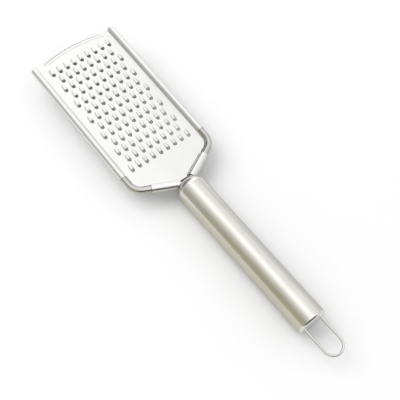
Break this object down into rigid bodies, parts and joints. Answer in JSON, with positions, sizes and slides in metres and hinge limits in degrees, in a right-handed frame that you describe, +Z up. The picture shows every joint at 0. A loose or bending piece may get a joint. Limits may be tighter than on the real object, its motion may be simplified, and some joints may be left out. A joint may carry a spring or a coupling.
{
  "type": "hand grater",
  "caption": "Flat hand grater: a pressed steel tooth plate rolled round two bent frame rods, with a round tube handle and a fixed wire hanging loop.",
  "frame": {"origin": "middle of the bounding box, on the surface that the handle lies on", "axes": "+Y along the handle towards the plate's tip, +Z up out of the toothed face, +X to the right seen from the handle"},
  "size_m": [0.0672, 0.2686, 0.0226],
  "materials": {
    "sheet_steel": "bright satin",
    "rod_steel": "polished",
    "tube_steel": "satin",
    "wire_steel": "polished"
  },
  "bodies": {
    "root": {"grater_plate": "sheet_steel", "frame_rod_left": "rod_steel", "frame_rod_right": "rod_steel", "handle_tube": "tube_steel", "front_cap": "tube_steel", "end_cap": "tube_steel", "hanging_loop": "wire_steel"}
  },
  "joints": []
}
